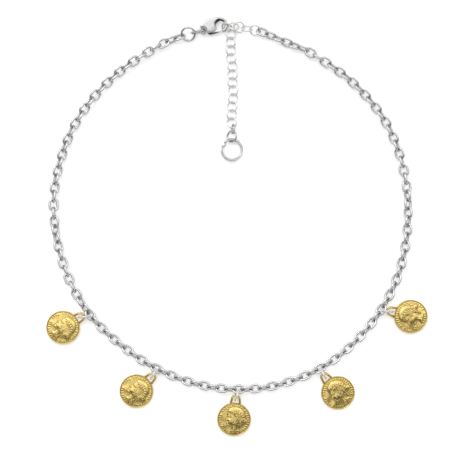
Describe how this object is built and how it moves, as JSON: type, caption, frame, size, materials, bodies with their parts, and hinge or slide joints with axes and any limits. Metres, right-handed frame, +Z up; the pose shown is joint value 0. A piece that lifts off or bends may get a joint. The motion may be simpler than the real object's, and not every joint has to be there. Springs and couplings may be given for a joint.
{
  "type": "coin charm necklace",
  "caption": "Cable chain necklace with coin charms on jump rings along its front, a trigger clasp and an extender of round links that ends in a split ring, lying flat.",
  "frame": {"origin": "on the surface it lies on, below the middle of the necklace's outer box", "axes": "+Z up from that surface, +Y from the front coin to the clasp, +X to the right in the picture"},
  "size_m": [0.1379, 0.1509, 0.005],
  "materials": {
    "silver": "polished silver",
    "gold": "polished gold plate, satin in the recesses of the relief"
  },
  "bodies": {
    "necklace": {"chain_right_1": "silver", "chain_right_2": "silver", "chain_right_3": "silver", "chain_right_4": "silver", "chain_front_1": "silver", "chain_front_2": "silver", "chain_front_3": "silver", "chain_front_4": "silver", "chain_left_1": "silver", "chain_left_2": "silver", "chain_left_3": "silver", "chain_left_4": "silver", "coin_1": "gold", "coin_2": "gold", "coin_3": "gold", "coin_4": "gold", "coin_5": "gold", "jump_ring_1": "silver", "jump_ring_2": "silver", "jump_ring_3": "silver", "jump_ring_4": "silver", "jump_ring_5": "silver", "clasp_body": "silver", "clasp_pin": "silver", "clasp_ring": "silver", "last_ring": "silver", "upper_link_1": "silver", "upper_link_2": "silver", "upper_link_3": "silver", "upper_link_4": "silver", "upper_link_5": "silver", "hanging_link_1": "silver", "hanging_link_2": "silver", "hanging_link_3": "silver", "hanging_link_4": "silver", "hanging_link_5": "silver", "hanging_link_6": "silver", "hanging_link_7": "silver", "hanging_link_8": "silver", "hanging_link_9": "silver", "hanging_link_10": "silver", "hanging_link_11": "silver", "hanging_link_12": "silver", "connector_ring": "silver", "holder_ring": "silver", "split_ring": "silver"},
    "lever": {"clasp_lever": "silver"}
  },
  "joints": [
    {"name": "lever_hinge", "type": "hinge", "parent": "necklace", "child": "lever", "pos_m": [-0.00819, 0.07096, 0.00145], "axis": [0, 0, 1], "range_deg": [0, 22], "stiffness_Nm_per_rad": 0.006, "springref_deg": -17.19}
  ]
}
